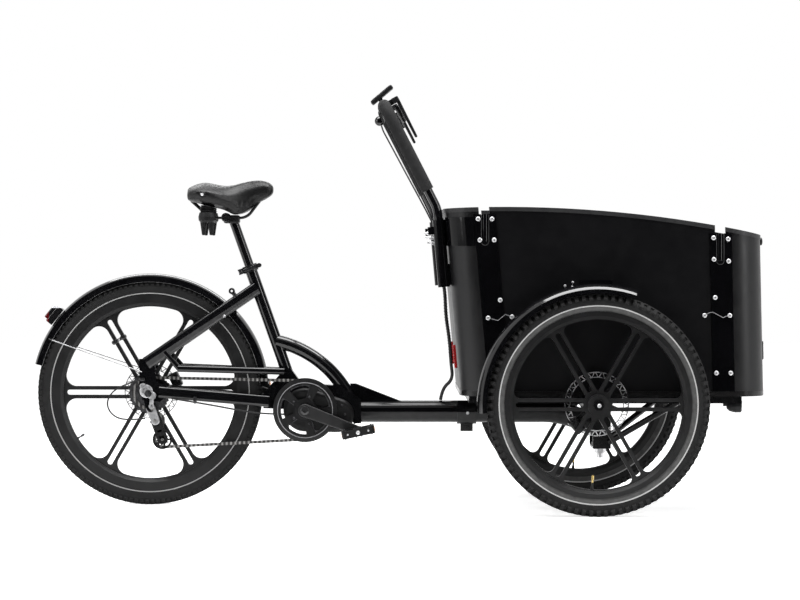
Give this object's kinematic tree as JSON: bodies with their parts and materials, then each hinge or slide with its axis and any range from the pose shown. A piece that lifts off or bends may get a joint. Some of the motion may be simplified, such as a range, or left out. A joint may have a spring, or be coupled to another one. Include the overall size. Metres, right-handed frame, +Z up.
{
  "type": "cargo tricycle",
  "caption": "Electric cargo tricycle with a curved front box between two steered wheels, a chain-driven rear wheel, sprung saddle and push bar.",
  "frame": {"origin": "on the ground, under the middle of the outline's bounding box", "axes": "+X forward towards the box, +Y to the rider's left, +Z up"},
  "size_m": [2.0897, 0.854, 1.2205],
  "materials": {
    "frame_paint": "gloss black powder coat",
    "strap_gloss": "gloss black",
    "panel_black": "matt black film on plywood",
    "trim_grey": "dark grey anodised edge",
    "rim_black": "satin black casting",
    "tyre": "matt rubber with a pale reflective stripe",
    "disc_steel": "ground braking ring",
    "bolt_steel": "bright zinc",
    "chain_steel": "oiled",
    "cog_steel": "satin",
    "alu_black": "black anodised",
    "guard_plastic": "gloss black",
    "black_plastic": "fine grain",
    "grip_rubber": "matt dark grey",
    "saddle_skin": "grained black cover over foam",
    "saddle_parts": "black",
    "lamp_body": "red lens on a black housing",
    "head_lamp": "black housing with a clear lens",
    "reflector_red": "red prismatic",
    "cable_sleeve": "spiral wrapped"
  },
  "bodies": {
    "rear_frame": {"seat_tube": "frame_paint", "arch_tube": "frame_paint", "main_beam": "frame_paint", "seat_stays": "frame_paint", "chain_stays": "frame_paint", "upper_stays": "frame_paint", "dropouts": "frame_paint", "motor_housing": "black_plastic", "motor_yoke": "frame_paint", "seat_clamp": "alu_black", "rear_mudguard": "guard_plastic", "tail_lamp": "lamp_body", "rear_axle": "bolt_steel", "rear_caliper": "alu_black", "derailleur": "cog_steel", "chain": "chain_steel"},
    "seat_lever": {"seat_clamp_lever": "alu_black"},
    "seat": {"seat_post": "alu_black", "saddle_pad": "saddle_skin", "saddle_frame": "saddle_parts"},
    "crankset": {"cranks": "alu_black", "chainring": "cog_steel", "chain_guard": "alu_black"},
    "pedal_right": {"pedal_right": "black_plastic"},
    "pedal_left": {"pedal_left": "black_plastic"},
    "rear_wheel": {"rear_tyre": "tyre", "rear_rim": "rim_black", "rear_brake_disc": "disc_steel"},
    "cassette": {"cassette": "cog_steel"},
    "upper_pulley": {"upper_pulley": "black_plastic"},
    "lower_pulley": {"lower_pulley": "black_plastic"},
    "front_chassis": {"axle_beam": "frame_paint", "kingpin": "bolt_steel", "chassis_rails": "frame_paint", "box_floor": "panel_black", "box_side_panels": "panel_black", "box_rear_panel": "panel_black", "box_front_panel": "panel_black", "edge_trims": "trim_grey", "corner_straps": "strap_gloss", "panel_bolts": "bolt_steel", "bar_mount": "strap_gloss", "front_mudguards": "guard_plastic", "front_calipers": "alu_black", "head_lamp": "head_lamp", "rear_reflectors": "reflector_red", "battery_pack": "black_plastic", "steering_cable": "cable_sleeve"},
    "handlebar": {"handlebar_tube": "frame_paint", "grips": "grip_rubber", "lever_perches": "alu_black", "display": "black_plastic"},
    "brake_lever_right": {"brake_lever_right": "alu_black"},
    "brake_lever_left": {"brake_lever_left": "alu_black"},
    "front_wheel_right": {"front_tyre_right": "tyre", "front_rim_right": "rim_black", "front_brake_disc_right": "disc_steel"},
    "front_wheel_left": {"front_tyre_left": "tyre", "front_rim_left": "rim_black", "front_brake_disc_left": "disc_steel"}
  },
  "joints": [
    {"name": "steer", "type": "hinge", "parent": "rear_frame", "child": "front_chassis", "pos_m": [0.593, 0, 0.23], "axis": [0, 0, 1], "range_deg": [-35, 35], "deforming": ["steering_cable"]},
    {"name": "rear_wheel_spin", "type": "hinge", "parent": "rear_frame", "child": "rear_wheel", "pos_m": [-0.717, 0, 0.3265], "axis": [0, 1, 0], "continuous": true},
    {"name": "front_wheel_right_spin", "type": "hinge", "parent": "front_chassis", "child": "front_wheel_right", "pos_m": [0.557, -0.375, 0.3105], "axis": [0, 1, 0], "continuous": true},
    {"name": "front_wheel_left_spin", "type": "hinge", "parent": "front_chassis", "child": "front_wheel_left", "pos_m": [0.557, 0.375, 0.3105], "axis": [0, 1, 0], "continuous": true},
    {"name": "crank_spin", "type": "hinge", "parent": "rear_frame", "child": "crankset", "pos_m": [-0.265, 0, 0.277], "axis": [0, 1, 0], "continuous": true},
    {"name": "pedal_right_spin", "type": "hinge", "parent": "crankset", "child": "pedal_right", "pos_m": [-0.11055, -0.1235, 0.21895], "axis": [0, 1, 0], "continuous": true},
    {"name": "pedal_left_spin", "type": "hinge", "parent": "crankset", "child": "pedal_left", "pos_m": [-0.41945, 0.1235, 0.33505], "axis": [0, 1, 0], "continuous": true},
    {"name": "cassette_spin", "type": "hinge", "parent": "rear_frame", "child": "cassette", "pos_m": [-0.717, 0, 0.3265], "axis": [0, 1, 0], "continuous": true},
    {"name": "upper_pulley_spin", "type": "hinge", "parent": "rear_frame", "child": "upper_pulley", "pos_m": [-0.697, -0.046, 0.2465], "axis": [0, 1, 0], "continuous": true},
    {"name": "lower_pulley_spin", "type": "hinge", "parent": "rear_frame", "child": "lower_pulley", "pos_m": [-0.678, -0.046, 0.1925], "axis": [0, 1, 0], "continuous": true},
    {"name": "seat_height", "type": "slide", "parent": "rear_frame", "child": "seat", "axis": [-0.3338, 0, 0.9426], "range_m": [-0.1, 0.08]},
    {"name": "seat_lever_swing", "type": "hinge", "parent": "rear_frame", "child": "seat_lever", "pos_m": [-0.45271, -0.028, 0.67738], "axis": [0.3338, 0, -0.9426], "range_deg": [0, 100]},
    {"name": "bar_height", "type": "slide", "parent": "front_chassis", "child": "handlebar", "axis": [-0.0872, 0, 0.9962], "range_m": [0, 0.06]},
    {"name": "brake_lever_right_pull", "type": "hinge", "parent": "handlebar", "child": "brake_lever_right", "pos_m": [0.00051, -0.209, 1.16865], "axis": [0, 1, 0], "range_deg": [0, 18], "stiffness_Nm_per_rad": 3},
    {"name": "brake_lever_left_pull", "type": "hinge", "parent": "handlebar", "child": "brake_lever_left", "pos_m": [0.00051, 0.209, 1.16865], "axis": [0, 1, 0], "range_deg": [0, 18], "stiffness_Nm_per_rad": 3}
  ],
  "couplings": [
    {"joint": "cassette_spin", "follows": "crank_spin", "ratio": 1.9091},
    {"joint": "upper_pulley_spin", "follows": "crank_spin", "ratio": -3.8182},
    {"joint": "lower_pulley_spin", "follows": "crank_spin", "ratio": 3.8182}
  ]
}
